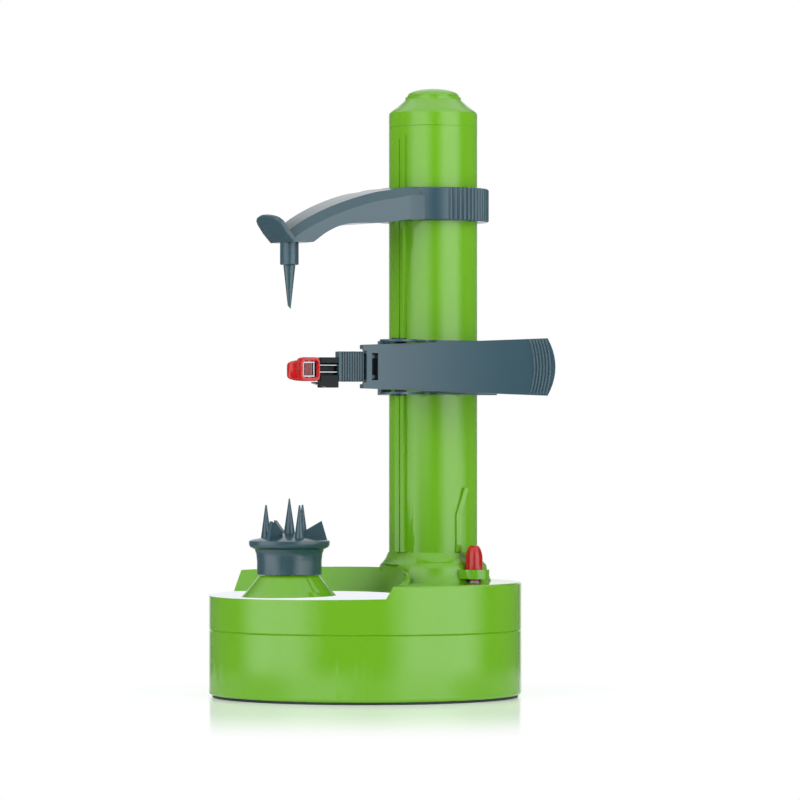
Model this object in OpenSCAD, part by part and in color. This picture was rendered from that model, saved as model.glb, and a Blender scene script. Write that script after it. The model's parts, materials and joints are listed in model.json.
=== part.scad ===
/* [Base] */
// Outer radius of the round base
base_r = 67.5; // [67:0.5:72]
// Wall of both base shells
base_wall = 2.3; // [1.8:0.1:2.6]
// Height of the foot ring
foot_h = 1; // [0.8:0.1:2]
// Height of the seam between the two base shells
seam_z = 29; // [28:0.5:32]
// Height of the deck on the upper shell
deck_z = 49.5; // [48:0.5:54]
// Height of the dish floor where it meets the rim of the base
dish_z = 43.6; // [43:0.2:45]
// Slope of the dish floor down to the rim, in degrees
dish_tilt = 1; // [0.5:0.5:4]
// Radius of the dish at its floor
dish_floor_r = 45.6; // [40:0.2:46]
// Radius of the dish at the height of the deck
dish_rim_r = 49.2; // [48:0.2:50]
// Distance from the centre of the base to the turntable axis
turn_offset = 38.7; // [37:0.1:40]

/* [Column] */
// Outer radius of the column
column_r = 19.3; // [18:0.1:20]
// Wall of the column
column_wall = 2.5; // [2:0.1:3]
// Height of the column above the deck
column_h = 197.3; // [190:0.5:215]
// Height of the cap above the column
cap_h = 13.5; // [12:0.1:16]
// Radius of the start button
button_r = 11.3; // [9:0.1:12]
// Travel of the start button
button_travel = 2.5; // [1:0.1:3]

/* [Upper arm] */
// Height of the ring of the arm above the deck
arm_lift = 156; // [150:0.5:160]
// Height of the ring of the arm
ring_h = 14.4; // [12:0.1:18]
// Outer radius of the ring of the arm
ring_r = 24.3; // [23.5:0.1:27]
// Length of the upper spike below its boss
spike_len = 18.7; // [14:0.1:20]

/* [Food cup] */
// Radius of the flange of the cup
cup_r = 17.3; // [16.5:0.1:19]
// Height of the cup from its bottom to the flange
cup_h = 11.7; // [10:0.1:14]
// Height of the centre spike above the hub
centre_spike_h = 14.9; // [10:0.1:15]
// Height of the outer spikes above the flange
outer_spike_h = 14.7; // [10:0.1:15]

/* [Carriage and lever] */
// Height of the blade above the deck
blade_lift = 92.5; // [90:0.5:96]
// Height of the carriage over both plates
carriage_h = 23.5; // [23.3:0.1:25]
// Thickness of the plates of the carriage
plate_t = 1; // [0.8:0.1:1.1]
// Radius of the concave curve of the lever
lever_curve_r = 280; // [240:5:320]
// Length of the lever cover
lever_len = 81.1; // [78:0.1:84]
// Thickness of the lever cover, front to back
lever_t = 8; // [7.5:0.1:8.5]
// Height of the lever cover at the blade end
lever_low_h = 18.7; // [18.2:0.1:19]
// Height of the lever cover at the thumb end
lever_high_h = 24.6; // [22:0.1:26]

/* [Drive] */
// Tooth size of the gears, pitch diameter divided by teeth
gear_module = 0.8; // [0.78:0.01:0.81]
// Rise of the lead screw thread in one turn
screw_lead = 10; // [9:0.5:12]
// Radius of the lead screw over its thread
screw_r = 5; // [4.4:0.1:5.4]
// Radius of the motor
motor_r = 12.1; // [11:0.1:12.2]
// Length of the motor
motor_len = 30; // [26:0.5:31]

/* [Thumb knife] */
// Radius of the handle of the thumb knife
knife_r = 3.7; // [3:0.1:4]
// Height of the handle of the thumb knife
knife_h = 10.5; // [9:0.1:12]

/* [Hidden] */
$fn = 64;

green = [0.43, 0.70, 0.16];
grey = [0.30, 0.38, 0.42];
dark = [0.10, 0.11, 0.12];
red = [0.80, 0.16, 0.12];
steel = [0.75, 0.76, 0.78];
white = [0.90, 0.90, 0.88];
brass = [0.80, 0.65, 0.30];

// overrun of every cut, gap between neighbours, and gap of a running fit
over = 1;
gap = 0.3;
fit = 0.05;
hide = 400;

// teeth of the gear train, and the axes that follow from them
turn_teeth = 25;
idler_teeth = 50;
screw_teeth = 60;
small_teeth = 10;
first_teeth = 46;
turn_x = -turn_offset;
idler_x = turn_x + (turn_teeth + idler_teeth) * gear_module / 2;
column_x = idler_x + (idler_teeth + screw_teeth) * gear_module / 2;
compound_y = (idler_teeth + small_teeth) * gear_module / 2;
motor_y = compound_y + (first_teeth + small_teeth) * gear_module / 2;

// heights inside the base
floor_t = 2.2;
floor_z = foot_h + floor_t;
cell_r = 7.15;
cell_len = 49.2;
cell_nub = 1.2;
tray_wall = 1;
cell_z = floor_z + cell_r + gap / 2;
plate_z = cell_z + cell_r + tray_wall + gap;
gear_plate_t = 2;
gear_z = plate_z + 1.75 * gear_plate_t;
gear_t = 5;
motor_top = floor_z + motor_len;
first_z = motor_top + gear_plate_t;
first_t = 4;
ceiling_z = dish_z - base_wall;
inner_r = base_r - base_wall;
ledge_r = inner_r - 1.8 * foot_h;
bottom_fillet = 1.5;
edge_cut = 0.6;
seam_groove = 0.4;

// screws that hold the two base shells
screw_inset = 12;
screw_ring = base_r - screw_inset;
post_angles = [75, 135, 225, 285];
post_r = 4;
shank_r = 1.4;
head_r = 2.7;
head_h = 1.6;

// battery tray: four cells side by side
cell_count = 4;
cell_pitch = 2 * cell_r + gap + gap / 2;
tray_x = 19;
contact_t = 0.5;
contact_w = 11;
tray_w = cell_count * cell_pitch + gap;
tray_d = cell_len + cell_nub + 2 * contact_t + gap;

// pedestal and foot of the column
ped_low_r = 18.4;
ped_top_r = 12.7;
ped_low_rise = 2.4;
ped_h = 7;
ped_low_z = dish_z + ped_low_rise;
ped_top_z = ped_low_z + ped_h;
spindle_r = 3;
bush_r = 6;
foot_r = 23.3;
foot_edge_r = 25.5;
foot_low_h = 6.8;
foot_high_h = 5.7;
foot_z = deck_z + foot_low_h;
foot_top_z = foot_z + foot_high_h;
column_top = deck_z + column_h;
column_in = column_r - column_wall;

// ribs and slot of the column
guide_w = 5.4;
guide_out = 1.4;
guide_stop = 3.8;
guide_slope = 4;
guide_line = 0.8;
guide_low = foot_top_z + gap;
guide_high = column_top - guide_stop;
guide_angle = 190.5;
cam_w = 2.4;
cam_out = 1;
cam_straight = 16.2;
cam_lean = 11.5;
cam_low = foot_top_z + gap;
cam_bend = cam_low + cam_straight;
cam_high = cam_bend + cam_lean;
cam_angle = -90;
slot_w = 9;
slot_rise = 17;
slot_len = 108;
slot_low = deck_z + slot_rise;
slot_high = slot_low + slot_len;

// the lever stands square to a line turned this far from the base's own X
lever_yaw = 33.5;
blade_z = deck_z + blade_lift;
arm_z = deck_z + arm_lift;
pivot_x = 1.3;
pivot_y = -24.3;
pivot_r = 2;
ear_r = 8.2;
lever_max = 22;
head_yaw = 15.5;

module ring(outer, inner, h) {
    difference() {
        cylinder(r = outer, h = h);
        translate([0, 0, -over]) cylinder(r = inner, h = h + 2 * over);
    }
}

module box(from, to) {
    translate(from) cube([to[0] - from[0], to[1] - from[1], to[2] - from[2]]);
}

module at_turn(z) {
    translate([turn_x, 0, z]) children();
}

module at_column(z) {
    translate([column_x, 0, z]) children();
}

module at_compound(z) {
    translate([idler_x, compound_y, z]) children();
}

module at_motor(z) {
    translate([idler_x, motor_y, z]) children();
}

module at_posts(z) {
    for (a = post_angles) rotate([0, 0, a]) translate([screw_ring, 0, z]) children();
}

// the frame of the lever: X along the photographed front, Y away from it, origin on the pivot
module at_pivot(turn = 0) {
    translate([pivot_x, pivot_y, blade_z]) rotate([0, 0, turn - lever_yaw]) children();
}

// the frame of the blade cartridge, X along the cartridge, Y towards the food
module at_head() {
    at_pivot(head_yaw) children();
}

// a spur gear with straight-sided teeth, thin enough to run free at any angle
root_share = 0.30;
tip_share = 0.085;
add_share = 0.85;
ded_share = 1.15;
module gear(teeth, h, turn = 0) {
    pitch = 360 / teeth;
    tip = gear_module * (teeth / 2 + add_share);
    root = gear_module * (teeth / 2 - ded_share);
    linear_extrude(height = h) polygon([
        for (i = [0:teeth - 1], s = [[root, -root_share], [tip, -tip_share],
            [tip, tip_share], [root, root_share]])
            s[0] * [cos(turn + pitch * (i + s[1])), sin(turn + pitch * (i + s[1]))]]);
}

// a round tube along a list of points, as one closed skin
function unit(v) = v / norm(v);
function tube_ring(p, t, r, n) = let (u = unit(cross(t, [0, 0, 1])), w = cross(u, t))
    [for (i = [0:n - 1]) p + r * (cos(360 * i / n) * u + sin(360 * i / n) * w)];
module tube(points, r, n = 6) {
    last = len(points) - 1;
    rings = [for (i = [0:last])
        tube_ring(points[i], unit(points[min(i + 1, last)] - points[max(i - 1, 0)]), r, n)];
    polyhedron([for (k = rings) each k], concat(
        [[for (i = [0:n - 1]) i]],
        [for (k = [0:last - 1], i = [0:n - 1])
            [k * n + i, (k + 1) * n + i, (k + 1) * n + (i + 1) % n]],
        [for (k = [0:last - 1], i = [0:n - 1])
            [k * n + i, (k + 1) * n + (i + 1) % n, k * n + (i + 1) % n]],
        [[for (i = [n - 1:-1:0]) last * n + i]]));
}
function helix(r, h, turns, steps) = [for (i = [0:turns * steps])
    [r * cos(360 * i / steps), r * sin(360 * i / steps), h * i / (turns * steps)]];

module foot_ring() color(dark) ring(base_r - bottom_fillet, base_r - 5 * bottom_fillet, foot_h);

// a lid seat steps round the battery opening by this much
lip = 3;
module tray_box(grow, z0, z1) {
    box([tray_x - tray_w / 2 - grow, -tray_d / 2 - grow, z0],
        [tray_x + tray_w / 2 + grow, tray_d / 2 + grow, z1]);
}

// the groove all round the seam of the two shells
module seam_cut() {
    rotate_extrude($fn = 128) polygon([[base_r - seam_groove, seam_z],
        [base_r + over, seam_z - seam_groove - over], [base_r + over, seam_z + seam_groove + over]]);
}

module base_lower_shell() color(green) difference() {
    union() {
        difference() {
            union() {
                translate([0, 0, foot_h + bottom_fillet])
                    cylinder(r = base_r, h = seam_z - foot_h - bottom_fillet, $fn = 128);
                translate([0, 0, foot_h])
                    cylinder(r = base_r - bottom_fillet, h = bottom_fillet + floor_t, $fn = 128);
                translate([0, 0, foot_h + bottom_fillet]) rotate_extrude($fn = 128)
                    translate([base_r - bottom_fillet, 0]) circle(r = bottom_fillet, $fn = 32);
            }
            translate([0, 0, floor_z]) cylinder(r = ledge_r, h = seam_z);
            translate([0, 0, plate_z]) cylinder(r = inner_r, h = seam_z);
        }
        at_posts(foot_h) cylinder(r = post_r, h = seam_z - foot_h);
        at_motor(floor_z) ring(motor_r + floor_t, motor_r + fit, 2 * floor_t);
    }
    tray_box(0, -over, floor_z + over);
    tray_box(lip, -over, foot_h + floor_t / 2);
    at_posts(-over) cylinder(r = shank_r + fit, h = seam_z + 2 * over);
    at_posts(-over) cylinder(r = head_r + gap, h = over + foot_h + 2 * head_h);
    seam_cut();
}

module battery_cover() color(green) difference() {
    union() {
        tray_box(lip - gap, foot_h, foot_h + floor_t / 2);
        tray_box(-gap, foot_h + floor_t / 2, floor_z);
    }
    for (i = [-2:2]) translate([tray_x + 2 * lip * i, 0, foot_h])
        cube([lip, tray_d / 2, floor_t / 2], center = true);
}

module battery_tray() color(dark) difference() {
    tray_box(tray_wall, floor_z, plate_z - gap / 2);
    tray_box(0, floor_z - over, plate_z - gap / 2 - tray_wall);
}

module at_cells() {
    for (i = [0:cell_count - 1])
        translate([tray_x + cell_pitch * (i - (cell_count - 1) / 2), 0, cell_z])
            rotate([i % 2 == 0 ? 90 : -90, 0, 0]) children();
}

module battery_cells() color(brass) at_cells() translate([0, 0, -(cell_len + cell_nub) / 2])
    union() {
        cylinder(r = cell_r, h = cell_len);
        cylinder(r = cell_r * 0.38, h = cell_len + cell_nub);
    }

module battery_contacts() color(steel) at_cells() for (s = [-1, 1])
    translate([0, 0, s * (tray_d - contact_t) / 2])
        cube([contact_w, contact_w, contact_t], center = true);

module gear_plate() color(white) difference() {
    translate([0, 0, plate_z]) cylinder(r = inner_r - gap, h = gear_plate_t);
    at_posts(plate_z - over) cylinder(r = post_r + gap, h = gear_plate_t + 2 * over);
    at_motor(plate_z - over) cylinder(r = motor_r + gap, h = gear_plate_t + 2 * over);
    at_turn(plate_z - over) cylinder(r = spindle_r + fit, h = gear_plate_t + 2 * over);
    at_column(plate_z - over) cylinder(r = journal_r + fit, h = gear_plate_t + 2 * over);
}

axle_r = 1.5;
axle_seat = gear_z - plate_z - gear_plate_t;
module axle(h) {
    cylinder(r = 2 * axle_r, h = axle_seat - gap / 2);
    cylinder(r = axle_r, h = h);
}
module gear_axles() color(steel) {
    translate([idler_x, 0, plate_z + gear_plate_t]) axle(gear_t + 2 * axle_seat);
    at_compound(plate_z + gear_plate_t) axle(ceiling_z - plate_z - gear_plate_t);
}

motor_shaft_r = 1;
module motor_can() color(steel) difference() {
    union() {
        at_motor(floor_z) cylinder(r = motor_r, h = motor_len);
        at_motor(floor_z) cylinder(r = 3 * motor_shaft_r, h = motor_len + motor_shaft_r);
    }
    at_motor(floor_z + motor_len / 2) cylinder(r = motor_shaft_r + fit, h = motor_len);
}

module motor_pinion() color(brass) union() {
    at_motor(floor_z + motor_len / 2 + gap) cylinder(r = motor_shaft_r,
        h = first_z + first_t - floor_z - motor_len / 2);
    at_motor(first_z) gear(small_teeth, first_t, 180 / small_teeth);
}

module compound_gear() color(white) at_compound(0) difference() {
    union() {
        translate([0, 0, first_z]) gear(first_teeth, first_t);
        translate([0, 0, gear_z]) gear(small_teeth, gear_t);
        translate([0, 0, gear_z + gear_t - fit]) cylinder(r = 2 * axle_r,
            h = first_z - gear_z - gear_t + 2 * fit);
    }
    translate([0, 0, gear_z - over]) cylinder(r = axle_r + fit, h = ceiling_z);
}

module idler_gear() color(white) translate([idler_x, 0, gear_z]) difference() {
    gear(idler_teeth, gear_t, 180 / idler_teeth);
    translate([0, 0, -over]) cylinder(r = axle_r + fit, h = gear_t + 2 * over);
}

// the flat of each driven shaft, as a share of its radius
flat_share = 0.7;
module d_shaft(r, h) {
    difference() {
        cylinder(r = r, h = h);
        translate([r * flat_share, -r, -over]) cube([r, 2 * r, h + 2 * over]);
    }
}

module turntable_gear() color(white) at_turn(gear_z) difference() {
    gear(turn_teeth, gear_t);
    translate([0, 0, -over]) d_shaft(spindle_r + fit, gear_t + 2 * over);
}

cup_z = ped_top_z + gap;
module turntable_spindle() color(steel) at_turn(0) union() {
    translate([0, 0, plate_z]) cylinder(r = spindle_r, h = gear_z - plate_z);
    translate([0, 0, plate_z + gear_plate_t + gap / 3])
        cylinder(r = 1.5 * spindle_r, h = axle_seat - gap / 3);
    translate([0, 0, gear_z]) d_shaft(spindle_r, gear_t);
    translate([0, 0, gear_z + gear_t]) cylinder(r = spindle_r, h = cup_z - gear_z - gear_t);
    translate([0, 0, cup_z]) d_shaft(spindle_r, cup_h * 0.6);
}

module spindle_bush() color(white) at_turn(ped_low_z) ring(bush_r, spindle_r + fit,
    ped_top_z - ped_low_z - gap);

journal_r = 2.5;
core_r = 0.72 * screw_r;
seat_r = 3.5;
bush_drop = 11;
bush_z = column_top - bush_drop;
bush_t = 4;
thread_low = slot_low;
thread_turns = floor((slot_high - slot_low) / screw_lead);
thread_t = 3;
thread_steps = 12;

module screw_gear() color(white) at_column(gear_z) difference() {
    gear(screw_teeth, gear_t);
    translate([0, 0, -over]) d_shaft(seat_r + fit, gear_t + 2 * over);
}

// one flight of the thread: a strip of four-cornered sections along a helix
module thread_strip() {
    n = thread_turns * thread_steps;
    low = core_r / cos(180 / thread_steps) + fit / 4;
    tip = screw_r;
    polyhedron([for (i = [0:n], s = [[low, -thread_t / 2], [tip, -thread_t / 4],
            [tip, thread_t / 4], [low, thread_t / 2]])
            [s[0] * cos(360 * i / thread_steps), s[0] * sin(360 * i / thread_steps),
                s[1] + screw_lead * i / thread_steps]],
        concat([[3, 2, 1, 0]],
            [for (i = [0:n - 1], j = [0:3])
                [4 * i + j, 4 * i + (j + 1) % 4, 4 * (i + 1) + (j + 1) % 4]],
            [for (i = [0:n - 1], j = [0:3])
                [4 * i + j, 4 * (i + 1) + (j + 1) % 4, 4 * (i + 1) + j]],
            [[4 * n, 4 * n + 1, 4 * n + 2, 4 * n + 3]]));
}

module lead_screw() color(steel) {
    at_column(0) union() {
        translate([0, 0, plate_z]) cylinder(r = journal_r, h = bush_z + bush_t - plate_z);
        translate([0, 0, plate_z + gear_plate_t + gap / 3])
            cylinder(r = 1.4 * seat_r, h = axle_seat - gap / 3);
        translate([0, 0, gear_z]) d_shaft(seat_r, gear_t);
        translate([0, 0, gear_z + gear_t]) cylinder(r = core_r, h = bush_z - gap - gear_z - gear_t);
    }
    at_column(thread_low) thread_strip();
}

module screw_bush() color(white) at_column(bush_z) ring(column_in - fit, journal_r + fit, bush_t);

// the dish opens to the rim of the base between two walls that leave its round at this angle
dish_fan = 39;
module dish_wall(turn, r) {
    rotate([0, 0, turn]) rotate([90, 0, 0]) linear_extrude(height = 4 * base_r, center = true)
        polygon([[-3 * base_r, 0], [r, 0],
            [r + 2 * (dish_rim_r - dish_floor_r), 2 * (deck_z - dish_z)],
            [-3 * base_r, 2 * (deck_z - dish_z)]]);
}

module dish_cut() {
    translate([-base_r, 0, dish_z]) rotate([0, -dish_tilt, 0])
        translate([base_r + turn_x, 0, 0]) union() {
            cylinder(r1 = dish_floor_r, r2 = dish_rim_r + dish_rim_r - dish_floor_r,
                h = 2 * (deck_z - dish_z), $fn = 128);
            intersection() {
                dish_wall(dish_fan, dish_floor_r);
                dish_wall(-dish_fan, dish_floor_r);
                dish_wall(0, dish_floor_r * cos(dish_fan));
            }
        }
}

// the raised rim of the dish: its outline, cut by a leaning plane
rim_rise = 2.9;
rim_tilt = 10.7;
rim_turn = 21;
rim_out_r = dish_rim_r + 2.6;
module dish_rim() {
    intersection() {
        at_turn(ceiling_z) union() {
            cylinder(r = rim_out_r, h = deck_z, $fn = 128);
            linear_extrude(height = deck_z) polygon([for (s = [1, -1], far = (s > 0 ? [0, 1] : [1, 0]))
                [rim_out_r * cos(dish_fan) - 2 * far * base_r * sin(dish_fan),
                    s * (rim_out_r * sin(dish_fan) + 2 * far * base_r * cos(dish_fan))]]);
        }
        cylinder(r = base_r, h = 2 * deck_z, $fn = 128);
        at_turn(dish_z + rim_rise) rotate([0, -rim_tilt, rim_turn])
            translate([-hide / 2, -hide / 2, -hide / 8]) cube([hide, hide, hide / 8]);
    }
}

// the ledge that holds the thumb knife stands out of the column's foot
knife_shift = 3.9;
knife_x = column_x + knife_shift;
knife_y = -25.9;
ledge_rise = 1.3;
ledge_t = 4;
ledge_low = deck_z + ledge_rise;
ledge_top = ledge_low + ledge_t;
ledge_w = 6.6;
knife_fit = 3;

module column_foot() {
    at_column(0) rotate_extrude($fn = 96) polygon([[0, ceiling_z], [foot_edge_r, ceiling_z],
        [foot_edge_r, deck_z], [foot_r + 0.3 * (foot_edge_r - foot_r), deck_z + 0.5 * foot_low_h],
        [foot_r, foot_z], [column_r + 0.4 * (foot_r - column_r), foot_z + 0.5 * foot_high_h],
        [column_r + gap, foot_top_z], [0, foot_top_z]]);
}

module base_upper_shell() color(green) difference() {
    union() {
        difference() {
            union() {
                translate([0, 0, seam_z]) cylinder(r = base_r, h = deck_z - seam_z - edge_cut,
                    $fn = 128);
                translate([0, 0, deck_z - edge_cut]) cylinder(r1 = base_r, r2 = base_r - edge_cut,
                    h = edge_cut, $fn = 128);
                intersection() {
                    column_foot();
                    cylinder(r = base_r - base_wall / 2, h = foot_top_z + over);
                }
                dish_rim();
            }
            dish_cut();
            translate([0, 0, seam_z - over]) cylinder(r = inner_r, h = ceiling_z - seam_z + over);
        }
        at_turn(ceiling_z - fit) cylinder(r1 = ped_low_r + 0.8 * (ped_low_r - ped_top_r),
            r2 = ped_low_r, h = ped_low_z - ceiling_z + 2 * fit);
        at_turn(ped_low_z) cylinder(r1 = ped_low_r, r2 = ped_top_r, h = ped_top_z - ped_low_z);
        at_posts(seam_z) cylinder(r = post_r, h = ceiling_z - seam_z + fit);
        translate([knife_x, knife_y, ledge_low]) cylinder(r = ledge_w, h = ledge_top - ledge_low);
        box([knife_x - ledge_w, knife_y, ledge_low], [knife_x + ledge_w, 0, ledge_top]);
    }
    at_column(seam_z) cylinder(r = column_r + fit, h = column_h);
    at_turn(seam_z) cylinder(r = bush_r + fit, h = ped_top_z);
    at_posts(seam_z - over) cylinder(r = shank_r + fit, h = over + 0.8 * (ceiling_z - seam_z));
    translate([knife_x, knife_y, ceiling_z - over]) cylinder(r = knife_fit + gap, h = deck_z);
    translate([knife_x, knife_y, ledge_top]) cylinder(r = knife_r + gap, h = knife_h);
    seam_cut();
}

module shell_screws() color(steel) at_posts(foot_h + head_h) union() {
    cylinder(r = head_r, h = head_h);
    cylinder(r = shank_r, h = seam_z + 0.6 * (ceiling_z - seam_z) - foot_h - head_h);
}

// the cup: a flared hub with a flange, spikes and fins
outer_spike_r = 10;
spike_turn = 143.5;
fin_turn = -36.5;
module food_cup() color(grey) at_turn(0) difference() {
    union() {
        translate([0, 0, cup_z]) rotate_extrude($fn = 96) polygon([[0, 0], [0.8 * cup_r, 0],
            [0.8 * cup_r, 0.49 * cup_h], [0.82 * cup_r, 0.75 * cup_h], [0.86 * cup_r, 0.92 * cup_h],
            [0.97 * cup_r, cup_h], [cup_r, 1.09 * cup_h], [cup_r, 1.22 * cup_h],
            [0.94 * cup_r, 1.27 * cup_h], [0.6 * cup_r, 1.36 * cup_h],
            [0.2 * cup_r, 1.5 * cup_h], [0, 1.5 * cup_h]]);
        translate([0, 0, cup_z + 1.3 * cup_h]) cylinder(r1 = 0.16 * cup_r, r2 = 0.015 * cup_r,
            h = centre_spike_h + 0.2 * cup_h);
        for (i = [0:2]) rotate([0, 0, spike_turn + 120 * i])
            translate([outer_spike_r, 0, cup_z + 1.2 * cup_h])
                cylinder(r1 = 0.14 * cup_r, r2 = 0.02 * cup_r, h = outer_spike_h + 0.08 * cup_h);
        for (i = [0:2]) rotate([0, 0, fin_turn + 120 * i]) rotate([90, 0, 0])
            linear_extrude(height = 0.08 * cup_r, center = true) polygon([
                [0.34 * cup_r, cup_z + 1.2 * cup_h], [0.36 * cup_r, cup_z + 1.58 * cup_h],
                [0.8 * cup_r, cup_z + 1.96 * cup_h], [0.95 * cup_r, cup_z + 1.2 * cup_h]]);
    }
    translate([0, 0, cup_z - over]) d_shaft(spindle_r + fit, over + 0.6 * cup_h + gap);
}

module guide_box(w, out, low, high) {
    rotate([0, 0, guide_angle]) box([column_in + gap, -w / 2, low], [column_r + out, w / 2, high]);
}

module column_tube() color(green) at_column(0) difference() {
    union() {
        translate([0, 0, seam_z + 2 * gear_plate_t]) cylinder(r = column_r,
            h = column_top - seam_z - 2 * gear_plate_t, $fn = 96);
        rotate([0, 0, guide_angle]) rotate([90, 0, 90]) translate([0, 0, column_in + gap])
            linear_extrude(height = column_r + guide_out - column_in - gap) polygon([
                [-guide_w / 2, guide_low], [guide_w / 2, guide_low], [guide_w / 2, guide_high],
                [-guide_w / 2, guide_high - guide_slope]]);
        rotate([0, 0, cam_angle]) rotate([90, 0, 90]) translate([0, 0, column_r - column_wall / 2])
            linear_extrude(height = cam_out + column_wall / 2) polygon([[-cam_w / 2, cam_low],
                [cam_w / 2, cam_low], [cam_w / 2, cam_bend], [2.1 * cam_w, cam_high],
                [1.2 * cam_w, cam_high], [-cam_w / 2, cam_bend]]);
    }
    translate([0, 0, seam_z]) cylinder(r = column_in, h = column_top);
    box([-slot_w / 2, 0, slot_low], [slot_w / 2, 2 * column_r, slot_high]);
    rotate([0, 0, guide_angle]) box([column_r + guide_out - guide_line / 2, 0, guide_low - over],
        [column_r + guide_out + over, guide_line, column_top]);
}

cap_top = column_top + cap_h;
button_flange = 1.7;
flange_z = column_top + 0.62 * cap_h - button_flange;
module column_cap() color(green) at_column(0) difference() {
    union() {
        translate([0, 0, column_top]) rotate_extrude($fn = 96) polygon([[0, 0], [column_r, 0],
            [column_r, 0.44 * cap_h], [0.97 * column_r, 0.5 * cap_h], [0.81 * column_r, 0.67 * cap_h],
            [0.68 * column_r, 0.83 * cap_h], [button_r + 3 * gap, 0.9 * cap_h],
            [button_r + 3 * gap, 0.98 * cap_h], [0, 0.98 * cap_h]]);
        translate([0, 0, column_top - bush_t]) cylinder(r = column_in - fit, h = bush_t);
    }
    translate([0, 0, column_top - bush_t - over]) cylinder(r = button_r + 2 * column_wall - gap,
        h = bush_t + over + 0.4 * cap_h);
    translate([0, 0, column_top]) cylinder(r = button_r + 1.5 * button_flange, h = 0.62 * cap_h + gap);
    translate([0, 0, column_top]) cylinder(r = button_r + gap, h = 2 * cap_h);
}

switch_top = flange_z - button_travel - gap - button_travel;
switch_w = 5;
switch_d = 3;
module start_switch() color(dark) at_column(0)
    box([-switch_w, -switch_d, bush_z + bush_t], [switch_w, switch_d, switch_top]);

spring_r = 9.5;
wire_r = 0.4;
module button_spring() color(steel) at_column(bush_z + bush_t + wire_r + gap / 3)
    tube(helix(spring_r, flange_z - bush_z - bush_t - 2 * wire_r - gap, 4, 16), wire_r);

module start_button() color(green) at_column(0) union() {
    translate([0, 0, flange_z]) cylinder(r = button_r + button_flange, h = button_flange);
    translate([0, 0, switch_top + button_travel + gap]) cylinder(r = motor_shaft_r * 2,
        h = flange_z - switch_top - button_travel);
    translate([0, 0, flange_z]) rotate_extrude($fn = 96) polygon([[0, 0], [button_r, 0],
        [button_r, cap_top - flange_z + 0.2 * button_travel],
        for (a = [0:10:90]) [button_r * cos(a) * 0.98,
            cap_top - flange_z + 0.2 * button_travel + 1.2 * button_travel * sin(a)]]);
}

module ear_plan(h) {
    cylinder(r = ring_r, h = h);
    translate([pivot_x - column_x, pivot_y, 0]) cylinder(r = ear_r, h = h);
    rotate([0, 0, atan2(pivot_y, pivot_x - column_x)])
        translate([0, -0.95 * ear_r, 0]) cube([norm([pivot_x - column_x, pivot_y]), 1.9 * ear_r, h]);
}

nut_inset = 5.5;
nut_w = 4;
nut_h = 9;
// the plates are cut back beside the lever by a line at this angle and place
trim_turn = 10;
trim_x = 14;
trim_y = 3.6;
module carriage_body() color(grey) difference() {
    translate([column_x, 0, blade_z - carriage_h / 2]) union() {
        ear_plan(plate_t);
        rotate([0, 0, -lever_yaw]) translate([0, -plate_t * 4, 0])
            cube([ring_r + 3.5 * plate_t, 8 * plate_t, plate_t]);
        translate([0, 0, carriage_h - plate_t]) ear_plan(plate_t);
        intersection() {
            cylinder(r = ring_r, h = carriage_h);
            box([-ring_r, 0.2 * ring_r, 0], [ring_r, ring_r, carriage_h]);
        }
    }
    at_column(0) cylinder(r = column_r + gap, h = 2 * column_top);
    at_column(0) guide_box(guide_w + 2 * gap, guide_out + gap, 0, 2 * column_top);
    at_column(0) rotate([0, 0, cam_angle]) box([0, -2 * cam_w, 0],
        [column_r + cam_out + gap, 3 * cam_w, 2 * column_top]);
    at_pivot() translate([0, 0, -carriage_h]) cylinder(r = pivot_r + fit, h = 2 * carriage_h);
    at_pivot(lever_max + trim_turn) translate([trim_x, -hide / 8, -carriage_h])
        cube([hide / 4, hide / 8 + trim_y, 2 * carriage_h]);
    at_column(blade_z) box([-nut_w / 2 - gap, 0, -nut_h / 2 - gap],
        [nut_w / 2 + gap, ring_r - 1.5 * plate_t, nut_h / 2 + gap]);
}

// the nut rides on the thread with two teeth, and draws back to let the carriage be lifted
nut_travel = 1.6;
tooth_h = 4.2;
tooth_z = thread_low + screw_lead * (0.75 + floor((blade_z - thread_low) / screw_lead) - 1);
module half_nut() color(white) at_column(0) union() {
    for (z = [tooth_z, tooth_z + screw_lead])
        box([-nut_w / 2, core_r + gap, z - tooth_h / 2], [nut_w / 2, screw_r + over, z + tooth_h / 2]);
    box([-1.4 * nut_w, screw_r + gap, tooth_z - tooth_h / 2],
        [1.4 * nut_w, column_in - nut_inset, tooth_z + screw_lead + tooth_h / 2]);
    translate([0, 0, blade_z]) box([-nut_w / 2, screw_r + gap, -nut_h / 2],
        [nut_w / 2, column_r + gap, nut_h / 2]);
}

module pivot_pin() color(steel) at_pivot() union() {
    translate([0, 0, -carriage_h / 2 - gap]) cylinder(r = pivot_r, h = carriage_h + 2 * gap);
    translate([0, 0, carriage_h / 2]) cylinder(r = 1.6 * pivot_r, h = 2 * gap);
    translate([0, 0, -carriage_h / 2 - 2 * gap]) cylinder(r = 1.6 * pivot_r, h = 2 * gap);
}

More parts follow.
